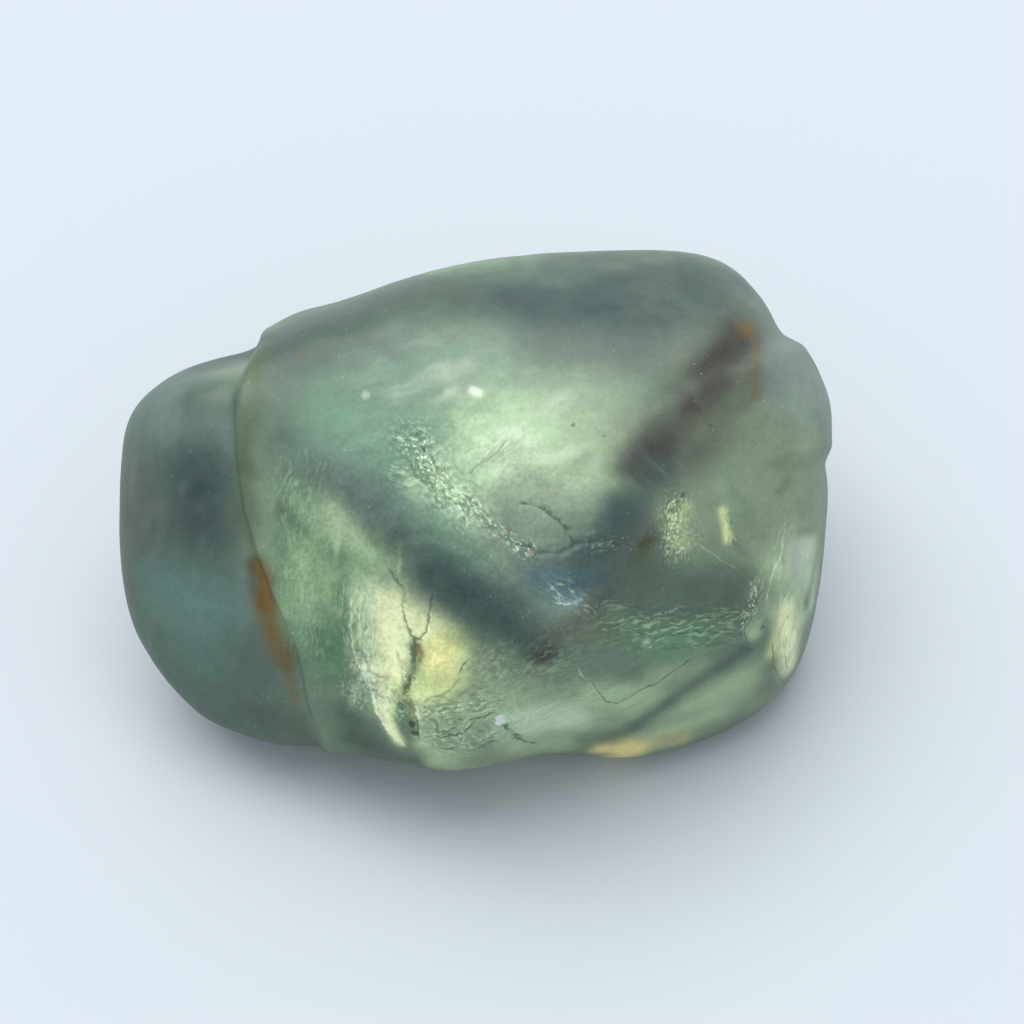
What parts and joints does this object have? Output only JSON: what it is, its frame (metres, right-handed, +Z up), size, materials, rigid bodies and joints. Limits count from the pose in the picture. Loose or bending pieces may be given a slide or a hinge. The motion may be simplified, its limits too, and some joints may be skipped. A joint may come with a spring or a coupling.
{
  "type": "fluorite octahedron",
  "caption": "Water-worn green fluorite octahedron: a see-through crystal with rounded faces, darker growth zones and a flat underside to rest on.",
  "frame": {"origin": "on the ground, under the middle of the stone's overall box", "axes": "+Z up, off the face it rests on; X along the stone's length, with the slipped end at -X; -Y towards the best side, which looks forward and up"},
  "size_m": [0.0302, 0.0207, 0.0178],
  "materials": {
    "fluorite": "frosted, water-worn and translucent: pale green to teal with slate-blue growth zones and rust in its cracks"
  },
  "bodies": {
    "root": {"fluorite_octahedron": "fluorite"}
  },
  "joints": []
}
